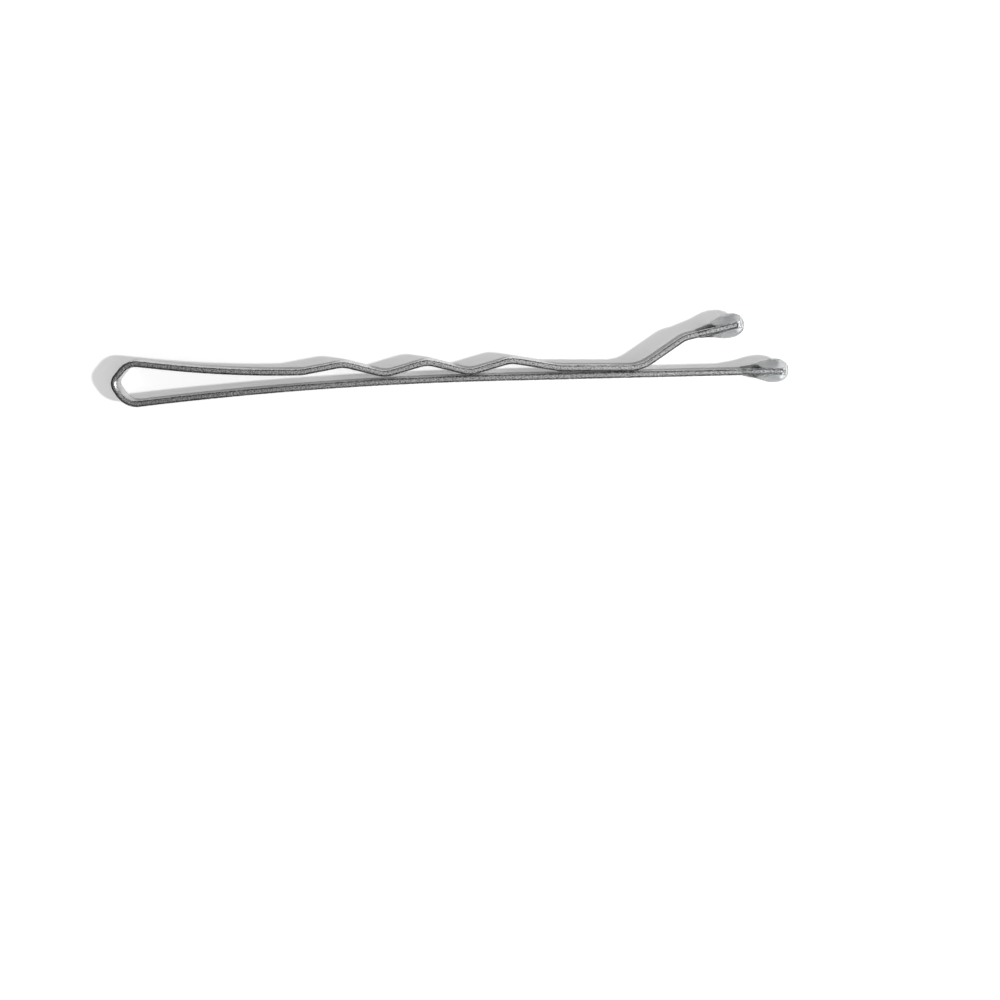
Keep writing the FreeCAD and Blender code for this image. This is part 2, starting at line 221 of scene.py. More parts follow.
STRETCHES = {
    "straight_leg_front": [run(STRAIGHT_FRONT)],
    "straight_leg_middle": [bend(flare_radius, LEFT * FLARE / 2)],
    "straight_leg_rear": [bend(flare_radius, LEFT * FLARE / 2)],
    "loop_lower_bend": [bend(LOOP_CORNER_RADIUS, RIGHT * lower_turn), run(lower_straight / 2)],
    "loop_back_bend": [run(lower_straight / 2), bend(LOOP_BACK_RADIUS, RIGHT * back_turn),
                       run(upper_straight / 2)],
    "loop_upper_bend": [run(upper_straight / 2), bend(LOOP_CORNER_RADIUS, RIGHT * upper_turn)],
    "rear_run": [run(rear_straight), bend(rear_radius, LEFT * rear_turn)],
    "rear_wave": [bend(WAVE_RADIUS, LEFT * entry_turn), run(entry_straight),
                  bend(WAVE_RADIUS, RIGHT * entry_turn)] + fall,
    "middle_wave": rise + fall,
    "front_wave": rise + [bend(WAVE_RADIUS, RIGHT * fall_turn), run(fall_straight),
                          bend(WAVE_RADIUS, LEFT * fall_turn)],
    "grip_run": [bend(WAVE_RADIUS, RIGHT * grip_slope), run(GRIP_LENGTH)],
    "lifted_end": [bend(LIFT_RADIUS, LEFT * (LIFT + grip_slope)), run(LIFT_RUN),
                   bend(TIP_RADIUS, RIGHT * (LIFT - TIP)), run(TIP_RUN)],
}
print("loop turns by %.0f, %.0f and %.0f degrees, and each wave by %.0f degrees up and down" % (
    lower_turn / DEGREE, back_turn / DEGREE, upper_turn / DEGREE, wave_turn / DEGREE))

# %% [markdown]
# ## From the table to a line
#
# A line of runs and bends could be drawn as Blender curves, but then its length would only be
# near the real one. Here it is a formula, so any point of the wire is found by its distance from
# the cut end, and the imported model's joints show whether the line is right: each hinge lies on
# the wire's outer face.


# %% A line drawn by runs and bends
def line_of(steps, place, heading):
    """A line as a function of the distance along it, and the distances where its steps begin.

    Along a step the heading turns evenly. So the chord from the step's start to a point is the
    distance between them, times the sine of half the angle turned, over half that angle. It points
    along the step's first heading plus half that angle. A run is a step that turns by nothing.
    """
    length, turn = np.array(steps).T
    begin = np.concatenate([[0.0], np.cumsum(length)])
    first_heading = heading + np.concatenate([[0.0], np.cumsum(turn)])

    def chord(distance, turned, lean):
        """Vector of the chord over a distance, turning by turned, from a heading of lean."""
        reach = distance * np.sinc(turned / (2 * np.pi))
        direction = lean + turned / 2
        return np.stack([reach * np.cos(direction), reach * np.sin(direction)], axis=-1)

    corner = np.cumsum(np.concatenate([[place], chord(length, turn, first_heading[:-1])]), axis=0)

    def at(distance):
        """Points of the line and its headings at these distances."""
        step = np.clip(np.searchsorted(begin, distance, side="right") - 1, 0, len(length) - 1)
        along = distance - begin[step]
        turned = turn[step] * along / length[step]
        point = corner[step] + chord(along, turned, first_heading[step])
        return point, first_heading[step] + turned

    return at, begin


def stations(steps, begin, longest, widest_turn):
    """Distances at which a line gets a ring or a point: even within each step, and at its ends."""
    counts = [max(1, math.ceil(max(length / longest, abs(turn) / widest_turn)))
              for length, turn in steps]
    spans = [np.linspace(start, stop, count, endpoint=False)
             for start, stop, count in zip(begin[:-1], begin[1:], counts)]
    return np.concatenate(spans + [begin[-1:]])


# %% The wire's centreline
RING_SPACING = 0.3 * MM
RING_TURN = 2.5 * DEGREE
wire_steps = [step for steps in STRETCHES.values() for step in steps]
wire_at, step_begins = line_of(wire_steps, WIRE_END, math.pi)
wire_stations = stations(wire_steps, step_begins, RING_SPACING, RING_TURN)
stretch_ends = np.cumsum([sum(length for length, turn in steps) for steps in STRETCHES.values()])
stretch_begin = dict(zip(STRETCHES, np.concatenate([[0.0], stretch_ends[:-1]])))
wire_length = stretch_ends[-1]
print("wire %.2f mm long, %d stations" % (wire_length / MM, len(wire_stations)))

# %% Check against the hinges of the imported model
BODY_OF = {node: body
           for body, nodes in frame["record"]["behaviour"]["bodies"].items()
           for node in nodes}
hinge_at = {}
for joint in frame["joints"]:
    first_node = next(node for node in STRETCHES if BODY_OF[node] == joint["child"])
    hinge_at[joint["child"]] = stretch_begin[first_node]
    spot, heading = wire_at(stretch_begin[first_node])
    outer = spot + WIRE_THICKNESS / 2 * np.array([-math.sin(heading), math.cos(heading)])
    miss = np.hypot(*(outer - np.array(joint["pos_m"][:2])))
    print("%-24s %7.3f mm along, off by %.4f mm" % (
        joint["name"], hinge_at[joint["child"]] / MM, miss / MM))

# %% [markdown]
# ## The wire's section
#
# Flat pin wire is round wire rolled between two plain rolls. Its wide faces come out flat, and
# its narrow edges bulge a little and keep small round corners. A plain rectangle would miss the
# thin dark lines that those corners draw along the pin, and a half circle would smear them over
# the whole edge. So the outline is walked with the same runs and bends as the wire: face, corner,
# crown, corner, and the same again.

# %% Outline of the section
SKIN_INSIDE = 0.002 * MM
EDGE_CROWN_RADIUS = 0.38 * MM
EDGE_CORNER_RADIUS = 0.1 * MM
half_thickness = WIRE_THICKNESS / 2 - SKIN_INSIDE
half_width = WIRE_WIDTH / 2 - SKIN_INSIDE
# a corner's arc touches the crown's from inside, so their centres are this far apart
centres_apart = EDGE_CROWN_RADIUS - EDGE_CORNER_RADIUS
crown_lean = math.asin((half_thickness - EDGE_CORNER_RADIUS) / centres_apart)
half_face = half_width - EDGE_CROWN_RADIUS + centres_apart * math.cos(crown_lean)
corner = bend(EDGE_CORNER_RADIUS, LEFT * (math.pi / 2 - crown_lean))
crown = bend(EDGE_CROWN_RADIUS, LEFT * 2 * crown_lean)
OUTLINE = [run(half_face), corner, crown, corner, run(2 * half_face),
           corner, crown, corner, run(half_face)]
OUTLINE_SPACING = 0.16 * MM
OUTLINE_TURN = 9 * DEGREE
outline_at, outline_begins = line_of(OUTLINE, (half_thickness, 0.0), math.pi / 2)
outline_stations = stations(OUTLINE, outline_begins, OUTLINE_SPACING, OUTLINE_TURN)[:-1]
outline = outline_at(outline_stations)[0]
print("section of %d points, flat for %.2f mm of its %.2f mm" % (
    len(outline), 2 * half_face / MM, WIRE_WIDTH / MM))

# %% [markdown]
# ### What bending and cutting do to it
#
# A tight bend squeezes the wire on its inner side, and the corner there swells into a full round.
# It also roughens the plating. At a cut end, tumbling wears the corners of the wire off. Both are
# small, but both catch the light, so the outline changes with the distance along the wire.


# %% Section along the wire
BEND_WINDOW = 0.7 * MM
SWELLS_UNDER_RADIUS = 2.1 * MM
ROUND_UNDER_RADIUS = 1.2 * MM
END_ROUNDING = 0.4 * MM
END_RINGS = 10


def tightness(distance):
    """How far a bend here swells the wire's inner side, from 0 to 1, or to -1 where it turns right.

    The curvature is the turn from a window behind a point to a window ahead, over the way between.
    With it the share goes evenly from 0, at the largest radius that swells, to 1, at the radius of
    a full round.
    """
    behind = wire_at(np.clip(distance - BEND_WINDOW, 0, wire_length))[1]
    ahead = wire_at(np.clip(distance + BEND_WINDOW, 0, wire_length))[1]
    curvature = (ahead - behind) / (2 * BEND_WINDOW)
    least, full = 1 / SWELLS_UNDER_RADIUS, 1 / ROUND_UNDER_RADIUS
    return np.sign(curvature) * np.clip((np.abs(curvature) - least) / (full - least), 0, 1)


def section_at(distance):
    """The outline at each distance along the wire, across it and up.

    On the inner side of a bend the points beyond the flat face move towards a half circle as wide
    as the wire is thick, by the bend's tightness. Near a cut end the width draws in as a quarter
    circle.
    """
    across, up = outline.T
    round_middle = half_width - half_thickness
    beyond = np.abs(up) - round_middle
    from_circle = np.clip(1 - half_thickness / np.hypot(across, beyond), 0, None) * (beyond > 0)
    inner = np.clip(tightness(distance)[:, None] * np.sign(across), 0, 1) * from_circle
    to_end = np.minimum(distance, wire_length - distance)
    short_of_round = np.clip(1 - to_end / END_ROUNDING, 0, 1)
    drawn_in = END_ROUNDING * (1 - np.sqrt(1 - short_of_round ** 2))
    width_share = 1 - drawn_in[:, None] / half_width
    return across * (1 - inner), width_share * (up - np.sign(up) * beyond * inner)


rounding = END_ROUNDING * (1 - np.cos(np.linspace(0, np.pi / 2, END_RINGS)))
wire_stations = np.unique(np.concatenate([rounding, wire_stations, wire_length - rounding]))
swollen = wire_stations[np.abs(tightness(wire_stations)) > 0]
print("bends swell the wire from %.2f to %.2f mm along, and it is %.2f mm wide at its cut ends" % (
    swollen[0] / MM, swollen[-1] / MM, 2 * (half_width - END_ROUNDING) / MM))


# %% [markdown]
# ## Skins
#
# Wire and drops alike are drawn as closed skins: rings of points one behind another, with a point
# in the middle of each end. One function turns such rings into a mesh with its faces outwards.
# The wire's skins also keep a second set of coordinates on their points, the place on the
# straightened wire, so that a finish can follow the wire round its bends.

# %% A closed skin from rings
def linked(name, data):
    """A new object with this mesh, lamp or lens, in the scene."""
    made = bpy.data.objects.new(name, data)
    bpy.context.scene.collection.objects.link(made)
    return made


def skin(name, rings, ends, flat_ends):
    """A closed mesh of rings by points, each ring turning left about the way that the rings go.

    Faces join neighbouring points of neighbouring rings, and a fan from its end point closes each
    end. Where an end is flat, the light breaks sharply at its rim.
    """
    ring_count, point_count = rings.shape[:2]
    number = np.arange(ring_count * point_count).reshape(ring_count, point_count)
    following = np.roll(number, -1, axis=1)
    sides = np.stack([number[:-1], following[:-1], following[1:], number[1:]], axis=-1)
    sides = sides.reshape(-1, 4)
    first_end, last_end = number.size, number.size + 1
    first_fan = np.stack([np.full(point_count, first_end), following[0], number[0]], axis=-1)
    last_fan = np.stack([np.full(point_count, last_end), number[-1], following[-1]], axis=-1)
    mesh = bpy.data.meshes.new(name)
    points = np.concatenate([rings.reshape(-1, 3), ends])
    mesh.from_pydata(points.tolist(), [], sides.tolist() + first_fan.tolist() + last_fan.tolist())
    mesh.polygons.foreach_set("use_smooth", np.ones(len(mesh.polygons), bool))
    if flat_ends:
        corners = np.empty(2 * len(mesh.edges), int)
        mesh.edges.foreach_get("vertices", corners)
        edge_ring = corners.reshape(-1, 2) // point_count
        rim = (edge_ring == 0).all(axis=1) | (edge_ring == ring_count - 1).all(axis=1)
        mesh.attributes.new("sharp_edge", "BOOLEAN", "EDGE").data.foreach_set("value", rim)
    mesh.validate()
    return linked(name, mesh)


# %% A piece of the wire
def spread(flat, heading, across, height):
    """Points off the wire's line: across it to the left, and up or down from its middle height."""
    x = flat[:, None, 0] - np.sin(heading)[:, None] * across
    y = flat[:, None, 1] + np.cos(heading)[:, None] * across
    return np.stack([x, y, np.broadcast_to(WIRE_HEIGHT + height, x.shape)], axis=-1)


RING_CLEARANCE = 0.004 * MM


def wire_piece(name, start, stop):
    """The wire from one distance to another: its section carried square along the centreline.

    Each point keeps its place on the straightened wire, which is its distance along, across the
    thickness and up the width. It also keeps its bend: the tightness there, times how far across
    to the inner side it lies.
    """
    inside = (wire_stations > start + RING_CLEARANCE) & (wire_stations < stop - RING_CLEARANCE)
    distance = np.concatenate([[start], wire_stations[inside], [stop]])
    flat, heading = wire_at(distance)
    rings = spread(flat, heading, *section_at(distance))
    places = np.stack([np.broadcast_to(distance[:, None], rings.shape[:2]),
                       np.broadcast_to(outline[:, 0], rings.shape[:2]),
                       np.broadcast_to(outline[:, 1], rings.shape[:2])], axis=-1)
    ends = np.concatenate([flat[[0, -1]], [[WIRE_HEIGHT], [WIRE_HEIGHT]]], axis=1)
    end_places = [start, 0.0, 0.0, stop, 0.0, 0.0]
    inner = np.clip(tightness(distance)[:, None] * outline[None, :, 0] / half_thickness, 0, 1)
    end_bends = [0.0, 0.0]
    piece = skin(name, rings, ends, flat_ends=True)
    place = piece.data.attributes.new("wire_place", "FLOAT_VECTOR", "POINT")
    place.data.foreach_set("vector", np.concatenate([places.ravel(), end_places]))
    bent = piece.data.attributes.new("wire_bend", "FLOAT", "POINT")
    bent.data.foreach_set("value", np.concatenate([inner.ravel(), end_bends]))
    return piece


# %% [markdown]
# ## Where the wire flexes
#
# The real wire springs along its whole length, and the imported model stands in for that with nine
# hinges. Every piece of skin runs from the middle of one body to the middle of the next, across
# the hinge between them. The cuts between the pieces lie in stretches that move as one.

# %% Cut the wire into pieces across its hinges
LONG_ZONE = 5.0 * MM
WAVE_ZONE = 1.4 * MM
LOOP_ZONE = 1.6 * MM
order = ["straight_leg_front"] + list(hinge_at)
zone_of = {body: WAVE_ZONE for body in order}
zone_of["straight_leg_middle"] = zone_of["straight_leg_rear"] = LONG_ZONE
zone_of["loop"] = zone_of["rear_run"] = LOOP_ZONE


def cut_place(body):
    """Distance along the wire at which a body's skin is cut, clear of the zones.

    It is the middle of the straight nearest to the body's middle, or the body's middle where it has
    no straight there. The loop is cut in the straight before its back bend.
    """
    nodes = [node for node in STRETCHES if BODY_OF[node] == body]
    begin = stretch_begin[nodes[0]]
    end = stretch_begin[nodes[-1]] + sum(length for length, turn in STRETCHES[nodes[-1]])
    if body == "loop":
        return stretch_begin["loop_back_bend"]
    middle = (begin + end) / 2
    runs = [start + length / 2 for start, (length, turn) in zip(step_begins, wire_steps)
            if turn == 0 and begin + zone_of[body] < start + length / 2 < end]
    return min(runs, key=lambda place: abs(place - middle)) if runs else middle


cut_at = [cut_place(body) for body in order]
# by the body after its hinge, each piece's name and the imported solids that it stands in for
PIECES = {
    "straight_leg_middle": ("wire_flare_front", ["straight_leg_middle"]),
    "straight_leg_rear": ("wire_flare_rear", ["straight_leg_rear"]),
    "loop": ("wire_loop_lower", ["loop_lower_bend"]),
    "rear_run": ("wire_loop_upper", ["loop_back_bend", "loop_upper_bend"]),
    "rear_wave": ("wire_rear_run", ["rear_run"]),
    "middle_wave": ("wire_rear_wave", ["rear_wave"]),
    "front_wave": ("wire_middle_wave", ["middle_wave"]),
    "grip_run": ("wire_front_wave", ["front_wave"]),
    "lifted_end": ("wire_grip_run", ["grip_run"]),
}

wire_pieces = [wire_piece("wire_straight_front", 0.0, cut_at[0])]
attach(wire_pieces[0], "straight_leg_front")
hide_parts("straight_leg_front")
for before, after, start, stop in zip(order, order[1:], cut_at, cut_at[1:]):
    name, solids = PIECES[after]
    piece = wire_piece(name, start, stop)
    hinge, zone = hinge_at[after], zone_of[after]
    zone_start, zone_end = wire_at(np.array([hinge - zone, hinge + zone]))[0]
    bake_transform(piece)
    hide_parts(*solids)
    wire_pieces.append(piece)
    print("%-18s %6.2f to %6.2f mm, hinge at %6.2f, zone %.1f each way" % (
        piece.name, start / MM, stop / MM, hinge / MM, zone / MM))
wire_pieces.append(wire_piece("wire_lifted_tip", cut_at[-1], wire_length))
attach(wire_pieces[-1], "lifted_end")
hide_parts("lifted_end")

# %% [markdown]
# ## The resin drops
#
# A dipped tip hangs in the resin until it sets. The drop is round at its nose and widest about 1
# mm behind it, and it falls in a hollow curve to a thin film on the wire. Its section is round
# where the drop is thick, and follows the flat wire where it is thin. A turned shape would be too
# thick over the flat faces, so each ring is an oval whose corners fill out towards the tail.

# %% Shape of a drop
drop_low, drop_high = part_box("straight_tip_bead")
DROP_RADIUS = min(drop_high.y - drop_low.y, drop_high.z - drop_low.z) / 2 - SKIN_INSIDE
END_WALL = drop_high.x - WIRE_END[0] - SKIN_INSIDE
DROP_LENGTH = 3.58 * MM
DROP_NOSE_REACH = 1.04 * MM
DROP_NOSE_POWER = 2.15
DROP_FALL_REACH = 1.5855 * MM
DROP_FALL_POWER = 2.2
FILM = 0.025 * MM
LIP_REACH = 0.3 * MM
OVAL_POWER = 2.0
FLAT_POWER = 6.0
FLATTENING = 4.0
DROP_RINGS = 72
DROP_POINTS = 64


def drop(name, end_spot, heading):
    """A drop round the wire's end, in rings from its tail to its nose.

    From the nose back, the half width follows a quarter oval up to the widest place, and then a
    bell curve, exp(-(how far behind it / reach) ** power), from the full radius to the film. Each
    ring is |across| ** n + |up| ** n = 1, with n from 2 in the thick part to 6 in the tail. Over
    the lip the film falls as a parabola, and it ends as far inside the wire as it was above it.
    """
    behind = DROP_LENGTH * np.cos(np.linspace(0, np.pi / 2, DROP_RINGS))
    short_of_widest = np.clip(1 - behind / DROP_NOSE_REACH, 0, 1)
    nose = (1 - short_of_widest ** DROP_NOSE_POWER) ** (1 / DROP_NOSE_POWER)
    fallen = np.clip(behind - DROP_NOSE_REACH, 0, None) / DROP_FALL_REACH
    bell = np.exp(-fallen ** DROP_FALL_POWER)
    short_of_film = np.clip(1 - (DROP_LENGTH - behind) / LIP_REACH, 0, 1)
    film = FILM * (1 - 2 * short_of_film ** 2)
    across = nose * (half_thickness + film + (DROP_RADIUS - half_thickness - FILM) * bell)
    up = nose * (half_width + film + (DROP_RADIUS - half_width - FILM) * bell)
    power = (OVAL_POWER + (FLAT_POWER - OVAL_POWER) * (1 - bell) ** FLATTENING)[:, None]
    angle = np.linspace(0, 2 * np.pi, DROP_POINTS, endpoint=False)
    cosine, sine = np.cos(angle), np.sin(angle)
    reach = (np.abs(cosine) ** power + np.abs(sine) ** power) ** (-1 / power)
    direction = np.array([math.cos(heading), math.sin(heading)])
    flat = end_spot + (END_WALL - behind)[:, None] * direction
    turned = np.full(DROP_RINGS, heading)
    rings = spread(flat, turned, across[:, None] * reach * cosine, up[:, None] * reach * sine)[:-1]
    ends = np.concatenate([flat[[0, -1]], [[WIRE_HEIGHT], [WIRE_HEIGHT]]], axis=1)
    return skin(name, rings, ends, flat_ends=False)


straight_drop = drop("drop_straight_tip", WIRE_END, 0.0)
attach(straight_drop, "straight_leg_front")
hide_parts("straight_tip_bead")
lifted_end_spot, lifted_heading = wire_at(wire_length)
lifted_drop = drop("drop_lifted_tip", lifted_end_spot, float(lifted_heading))
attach(lifted_drop, "lifted_end")
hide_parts("lifted_tip_bead")
for piece in (straight_drop, lifted_drop):
    print("%-18s %d faces, %.2f mm thick" % (
        piece.name, len(piece.data.polygons), 2 * DROP_RADIUS / MM))

# %% [markdown]
# ## Finishes
#
# A material here is a small tree of nodes. Every finish on this pin is made of the same thing, a
# pattern of marks of a known length and width, so one helper makes such a pattern. A noise
# texture at a scale of 1 changes over about one unit, so the place is divided by the size of a
# mark first.

# %% Node helpers
def add_node(tree, kind, settings=None, **sockets):
    """A node with its settings and sockets set. A socket gets a value or another node's output."""
    node = tree.nodes.new(kind)
    for name, value in (settings or {}).items():
        setattr(node, name, value)
    for name, value in sockets.items():
        socket = node.inputs[name.replace("_", " ")]
        if isinstance(value, bpy.types.NodeSocket):
            tree.links.new(value, socket)
        else:
            socket.default_value = value
    return node


def new_material(name):
    """A material with one surface shader, and that shader."""
    material = bpy.data.materials.new(name)
    material.use_nodes = True
    return material, material.node_tree, material.node_tree.nodes["Principled BSDF"]


def marks(tree, place, length, width, detail):
    """Noise whose marks are this long along the place's first axis, and this wide on the others."""
    sized = add_node(tree, "ShaderNodeMapping", Vector=place,
                     Scale=(1 / length, 1 / width, 1 / width))
    noise = add_node(tree, "ShaderNodeTexNoise", Vector=sized.outputs["Vector"],
                     Scale=1.0, Detail=detail)
    return noise.outputs["Fac"]


def spread_over(tree, value, low, high, new_low, new_high):
    """The value carried from one range to another, and held at its ends."""
    spread_node = add_node(tree, "ShaderNodeMapRange", Value=value, From_Min=low, From_Max=high,
                           To_Min=new_low, To_Max=new_high)
    return spread_node.outputs["Result"]


def calculate(tree, operation, first, second=0.0):
    """One sum of a value, or of two. Each is a number or another node's output."""
    node = add_node(tree, "ShaderNodeMath", {"operation": operation})
    for socket, value in zip(node.inputs, (first, second)):
        if isinstance(value, bpy.types.NodeSocket):
            tree.links.new(value, socket)
        else:
            socket.default_value = value
    return node.outputs["Value"]


def mixed(tree, low, high, factor):
    """Low where the factor is 0, and high where it is 1."""
    return add_node(tree, "ShaderNodeMix", Factor=factor, A=low, B=high).outputs["Result"]


def grey(tone):
    """A neutral colour of this tone."""
    return tone, tone, tone, 1.0


# %% [markdown]
# ### Plated wire
#
# Bright plating is thin, and it copies the steel below. The wide faces are rolled, so they show
# long streaks and fine hairlines along the wire. The narrow edges are not, so they stay grained.
# Their grains are painted brighter on the waves and the lifted end, and a little brighter on the
# straight leg: a painted sheen for the brighter light that these lengths catch. The straight leg's
# edges are also a little more matt. In the drops, resin fills the grains and evens them out. All
# of it reads the place on the straightened wire, so the streaks go round the loop and over the
# waves.

# %% Plated wire
STREAK_LENGTH = 2.6 * MM
STREAK_WIDTH = 0.15 * MM
STREAK_DEPTH = 0.012 * MM
HAIRLINE_LENGTH = 0.9 * MM
HAIRLINE_WIDTH = 0.05 * MM
HAIRLINE_DEPTH = 0.003 * MM
GRAIN_LENGTH = 0.13 * MM
GRAIN_WIDTH = 0.09 * MM
GRAIN_DEPTH = 0.014 * MM
FACE_DULL = 0.56
FACE_BRIGHT = 0.7
GRAIN_DULL = 0.25
GRAIN_BRIGHT = 0.92
MARK_DETAIL = 2.0
WETTED_SHARE = 0.35
WETTED_TO = 2.6 * MM
DRY_FROM = 3.4 * MM
# painted sheen on the edges: a little brighter on the straight leg, more on the waves and lifted
# end
LEG_SHEEN_AND_MATT_TO = 36.0 * MM
LEG_SHEEN_AND_MATT_GONE_AT = 44.0 * MM
LEG_PAINTED_SHEEN_GAIN = 1.1
DULLED_ROUGHENS = 0.1
WAVE_SHEEN_STARTS = 58.0 * MM
WAVE_SHEEN_FULL_FROM = 68.0 * MM
WAVE_PAINTED_SHEEN_GAIN = 1.5
PLATING_SMOOTH = 0.1
PLATING_ROUGH = 0.22
BEND_ROUGHENS = 0.45
NOISE_LOW = 0.32
NOISE_HIGH = 0.68


def plated_wire():
    """Bright plating over rolled wire: streaked wide faces, and grained narrow edges."""
    material, tree, surface = new_material("streaked_plating")
    kept_place = add_node(tree, "ShaderNodeAttribute", {"attribute_name": "wire_place"})
    place = kept_place.outputs["Vector"]
    kept_bend = add_node(tree, "ShaderNodeAttribute", {"attribute_name": "wire_bend"})
    bent = kept_bend.outputs["Fac"]
    streaks = marks(tree, place, STREAK_LENGTH, STREAK_WIDTH, MARK_DETAIL)
    hairlines = marks(tree, place, HAIRLINE_LENGTH, HAIRLINE_WIDTH, MARK_DETAIL)
    grains = marks(tree, place, GRAIN_LENGTH, GRAIN_WIDTH, MARK_DETAIL)
    parts = add_node(tree, "ShaderNodeSeparateXYZ", Vector=place)
    on_edge = spread_over(tree, calculate(tree, "ABSOLUTE", parts.outputs["Z"]), half_face,
                          half_face + EDGE_CORNER_RADIUS / 2, 0.0, 1.0)
    along = parts.outputs["X"]
    to_end = calculate(tree, "MINIMUM", along, calculate(tree, "SUBTRACT", wire_length, along))
    bare = spread_over(tree, to_end, WETTED_TO, DRY_FROM, WETTED_SHARE, 1.0)
    face_tone = spread_over(tree, streaks, NOISE_LOW, NOISE_HIGH, FACE_DULL, FACE_BRIGHT)
    edge_tone = spread_over(tree, grains, NOISE_LOW, NOISE_HIGH, GRAIN_DULL, GRAIN_BRIGHT)
    # painted sheen: the edge tone is raised along the straight leg, and more from the waves on
    for gain in (spread_over(tree, along, LEG_SHEEN_AND_MATT_TO, LEG_SHEEN_AND_MATT_GONE_AT, LEG_PAINTED_SHEEN_GAIN, 1.0),
                 spread_over(tree, along, WAVE_SHEEN_STARTS, WAVE_SHEEN_FULL_FROM, 1.0, WAVE_PAINTED_SHEEN_GAIN)):
        edge_tone = calculate(tree, "MULTIPLY", edge_tone, gain)
    edge_tone = calculate(tree, "MINIMUM", edge_tone, 1.0)
    tree.links.new(mixed(tree, face_tone, edge_tone, on_edge), surface.inputs["Base Color"])
    roughness = spread_over(tree, hairlines, NOISE_LOW, NOISE_HIGH, PLATING_SMOOTH, PLATING_ROUGH)
    dulled = spread_over(tree, along, LEG_SHEEN_AND_MATT_TO, LEG_SHEEN_AND_MATT_GONE_AT, DULLED_ROUGHENS, 0.0)
    for added in (calculate(tree, "MULTIPLY", bent, BEND_ROUGHENS),
                  calculate(tree, "MULTIPLY", dulled, on_edge)):
        roughness = calculate(tree, "ADD", roughness, added)
    tree.links.new(roughness, surface.inputs["Roughness"])
    relief = add_node(tree, "ShaderNodeBump", Height=streaks, Distance=STREAK_DEPTH, Strength=1.0)
    edge_grains = calculate(tree, "MULTIPLY", grains, calculate(tree, "MULTIPLY", on_edge, bare))
    for height, depth in ((hairlines, HAIRLINE_DEPTH), (edge_grains, GRAIN_DEPTH)):
        relief = add_node(tree, "ShaderNodeBump", Height=height, Distance=depth, Strength=1.0,
                          Normal=relief.outputs["Normal"])
    tree.links.new(relief.outputs["Normal"], surface.inputs["Normal"])
    surface.inputs["Metallic"].default_value = 1.0
    return material


wire_finish = plated_wire()
for piece in wire_pieces:
    piece.data.materials.append(wire_finish)
print("%s: %d nodes, on %d pieces" % (
    wire_finish.name, len(wire_finish.node_tree.nodes), len(wire_pieces)))

# %% [markdown]
# ### Clear resin
#
# The drops are clear and hard, like varnish, so light goes through them and bends. Nothing but
# the wire inside and the floor below gives them their look. A drop that sets while it hangs keeps
# a faint unevenness, and that is what makes the edges of the wire inside look wavy.

# %% Clear resin
SWELL_SIZE = 0.7 * MM
SWELL_DEPTH = 0.008 * MM
SWELL_DETAIL = 1.0
RESIN_COLOUR = (0.93, 0.95, 0.96, 1.0)
RESIN_ROUGHNESS = 0.02
RESIN_INDEX = 1.5


def clear_resin():
    """Clear hard resin with a faint unevenness."""
    material, tree, surface = new_material("clear_resin")
    place = add_node(tree, "ShaderNodeTexCoord").outputs["Object"]
    swell = marks(tree, place, SWELL_SIZE, SWELL_SIZE, SWELL_DETAIL)
    relief = add_node(tree, "ShaderNodeBump", Height=swell, Distance=SWELL_DEPTH, Strength=1.0)
    tree.links.new(relief.outputs["Normal"], surface.inputs["Normal"])
    surface.inputs["Base Color"].default_value = RESIN_COLOUR
    surface.inputs["Roughness"].default_value = RESIN_ROUGHNESS
    surface.inputs["IOR"].default_value = RESIN_INDEX
    surface.inputs["Transmission Weight"].default_value = 1.0
    return material


resin_finish = clear_resin()
for piece in (straight_drop, lifted_drop):
    piece.data.materials.append(resin_finish)
print("%s: %d nodes, on both drops" % (resin_finish.name, len(resin_finish.node_tree.nodes)))

# %% [markdown]
# ## Camera
#
# The view is from above, a little off to the side of the waved leg. The camera's place, turns and
# focal length were found by laying the known corners of the pin over the picture of them, so the
# render and the photograph can be compared line by line. A photographer would call it a close
# view with a slightly wide lens, and that is why the wire's inner faces show at the loop.

# %% Camera
CAMERA_PLACE = (1.158 * MM, 10.045 * MM, 77.7 * MM)
CAMERA_HEADING = 5.77 * DEGREE
CAMERA_TILT = 15.30 * DEGREE
CAMERA_ROLL = -7.10 * DEGREE
SENSOR_WIDTH = 36.0
FOCAL_LENGTH = 37.43
NEAREST_SEEN = 1.0 * MM
FARTHEST_SEEN = 10.0
lens = bpy.data.cameras.new("camera")
lens.sensor_width = SENSOR_WIDTH
lens.lens = FOCAL_LENGTH
lens.clip_start = NEAREST_SEEN
lens.clip_end = FARTHEST_SEEN
camera = linked("camera", lens)
camera.matrix_world = (
    Matrix.Translation(CAMERA_PLACE) @ Matrix.Rotation(CAMERA_HEADING, 4, "Z")
    @ Matrix.Rotation(-CAMERA_TILT, 4, "X") @ Matrix.Rotation(CAMERA_ROLL, 4, "Z"))
bpy.context.scene.camera = camera
bpy.context.scene.view_settings.view_transform = "Standard"
print("camera %.1f mm up, seeing about %.0f mm of floor across" % (
    CAMERA_PLACE[2] / MM, CAMERA_PLACE[2] / MM * SENSOR_WIDTH / FOCAL_LENGTH))

# %% [markdown]
# ## Floor
#
# The pin lies on its narrow edge on a white surface, and its shadow is half of the picture. So
# the floor is a real surface that takes the shadow. Lit to just under full light, its white would
# come out as pale grey, so the floor adds a little white of its own for what the camera sees,
# straight or through the resin. The lamp stands near and doesn't reach far, and that is made up
# for in the same way.


# %% Floor
def seen_rays(tree, kinds):
    """1 for a ray of any of these kinds, 0 for others."""
    path = add_node(tree, "ShaderNodeLightPath")
    total = path.outputs[kinds[0]]
    for kind in kinds[1:]:
        total = calculate(tree, "MAXIMUM", total, path.outputs[kind])
    return total


